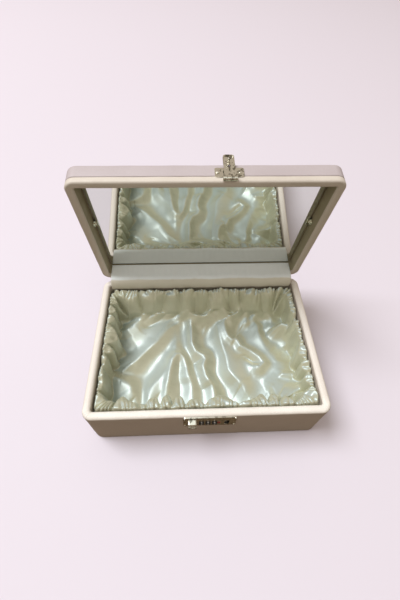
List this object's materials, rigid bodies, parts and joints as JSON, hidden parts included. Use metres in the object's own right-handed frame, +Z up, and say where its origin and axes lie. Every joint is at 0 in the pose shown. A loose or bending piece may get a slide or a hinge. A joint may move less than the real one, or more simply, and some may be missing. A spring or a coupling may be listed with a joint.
{
  "type": "makeup box",
  "caption": "Leatherette box with a hinged mirror lid, a gathered satin lining, a hasp and a number lock on the front.",
  "frame": {"origin": "on the table under the middle of the base", "axes": "+X to the right along the long side, +Y from the lock to the hinge, +Z up"},
  "size_m": [0.26, 0.2079, 0.259],
  "materials": {
    "leatherette": "fine-grained blush leatherette",
    "satin": "glossy ivory satin",
    "board": "raw fibreboard",
    "card": "grey card",
    "foam": "soft foam sheet",
    "backing_paper": "plain lining paper",
    "mirror": "silvered glass",
    "nickel": "bright nickel plate",
    "steel": "zinc-plated steel",
    "wheel": "black with white figures",
    "index_red": "red enamel"
  },
  "bodies": {
    "base": {"base_wall_cover": "leatherette", "base_rim_cover": "leatherette", "satin_floor": "satin", "satin_wall_front": "satin", "satin_wall_back": "satin", "satin_wall_left": "satin", "satin_wall_right": "satin", "hinge_flap": "satin", "base_bottom_board": "board", "base_front_board": "board", "base_back_board": "board", "base_left_board": "board", "base_right_board": "board", "inner_card_front": "card", "inner_card_back": "card", "inner_card_left": "card", "inner_card_right": "card", "inner_card_floor": "card", "floor_foam": "foam", "base_bottom_sheet": "backing_paper", "lock_plate": "nickel", "lock_rivets": "nickel", "lock_case": "steel", "lock_bolt_spring": "steel", "dial_axle": "steel", "dial_detent_spring": "steel", "hinge_leaves_base": "steel", "hinge_pins": "steel", "hinge_screws_base": "steel", "lock_index": "index_red"},
    "lid": {"lid_cover": "leatherette", "lid_rim_cover": "leatherette", "lid_top_board": "board", "lid_front_board": "board", "lid_back_board": "board", "lid_left_board": "board", "lid_right_board": "board", "mirror_card": "card", "mirror_glass": "mirror", "mirror_clip_left": "nickel", "mirror_clip_right": "nickel", "mirror_clip_screws": "nickel", "hinge_leaves_lid": "steel", "hinge_screws_lid": "steel", "hasp_plate": "nickel", "hasp_screws": "nickel", "hasp_pin": "nickel"},
    "tongue": {"hasp_tongue": "nickel", "hasp_stud": "nickel"},
    "release": {"lock_knob": "nickel", "lock_bolt": "steel"},
    "wheel_1": {"number_wheel_1": "wheel"},
    "wheel_2": {"number_wheel_2": "wheel"},
    "wheel_3": {"number_wheel_3": "wheel"}
  },
  "joints": [
    {"name": "lid_hinge", "type": "hinge", "parent": "base", "child": "lid", "pos_m": [0, 0.0908, 0.0692], "axis": [1, 0, 0], "range_deg": [-25, 80], "deforming": ["hinge_flap"]},
    {"name": "hasp_hinge", "type": "hinge", "parent": "lid", "child": "tongue", "pos_m": [0.02, 0.06044, 0.24947], "axis": [1, 0, 0], "range_deg": [0, 180]},
    {"name": "release_slide", "type": "slide", "parent": "base", "child": "release", "axis": [-1, 0, 0], "range_m": [0, 0.0035], "stiffness_N_per_m": 300, "springref_m": -0.003, "deforming": ["lock_bolt_spring"]},
    {"name": "dial_1", "type": "hinge", "parent": "base", "child": "wheel_1", "pos_m": [-0.0068, -0.0866, 0.05], "axis": [1, 0, 0], "continuous": true},
    {"name": "dial_2", "type": "hinge", "parent": "base", "child": "wheel_2", "pos_m": [0.0001, -0.0866, 0.05], "axis": [1, 0, 0], "continuous": true},
    {"name": "dial_3", "type": "hinge", "parent": "base", "child": "wheel_3", "pos_m": [0.007, -0.0866, 0.05], "axis": [1, 0, 0], "continuous": true}
  ]
}
